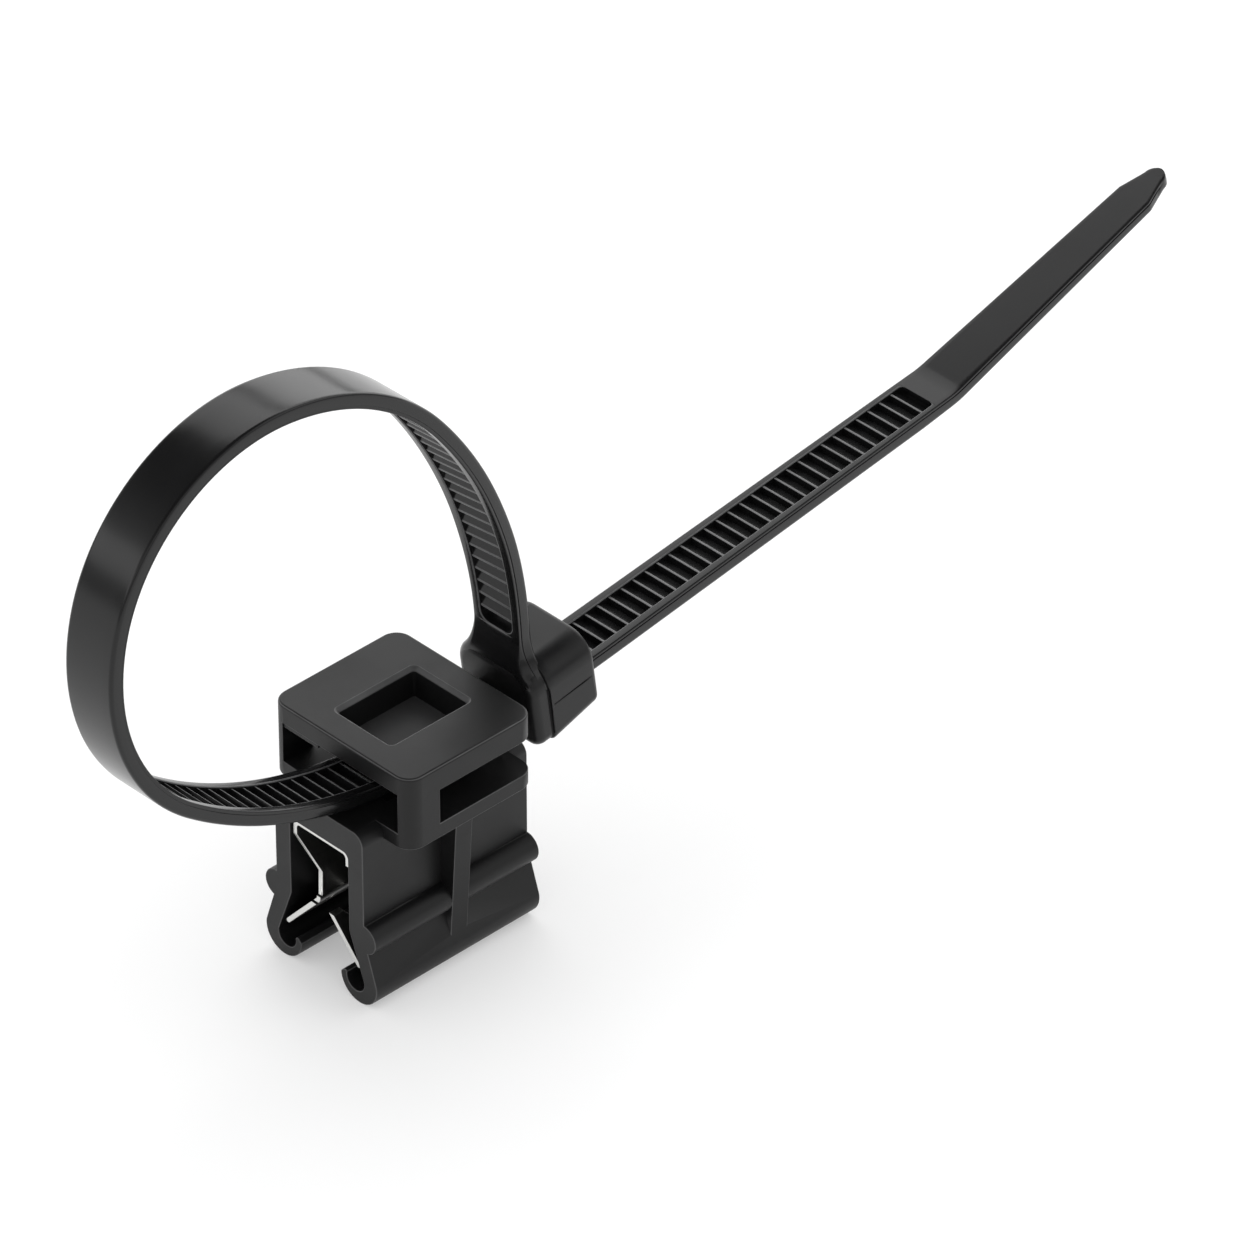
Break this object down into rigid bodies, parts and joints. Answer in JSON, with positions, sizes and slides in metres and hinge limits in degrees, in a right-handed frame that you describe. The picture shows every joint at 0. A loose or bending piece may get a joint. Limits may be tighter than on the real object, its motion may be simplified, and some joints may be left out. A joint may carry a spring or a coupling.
{
  "type": "edge clip cable tie",
  "caption": "Panel edge clip with sprung steel jaws and a saddle, and a toothed cable tie threaded through it and closed in a loop.",
  "frame": {"origin": "middle of the jaws' mouth, in the plane of the lips' lowest points, where the panel edge goes in", "axes": "+X across the jaws, through the panel's thickness; +Y along the jaws, the way the tie's tail points; +Z from the mouth up to the saddle"},
  "size_m": [0.0142, 0.1056, 0.0519],
  "materials": {
    "tie": "satin black nylon",
    "clip": "satin black nylon",
    "insert": "satin spring steel"
  },
  "bodies": {
    "root": {"cable_tie": "tie", "clip_body": "clip", "grip_insert": "insert"}
  },
  "joints": []
}
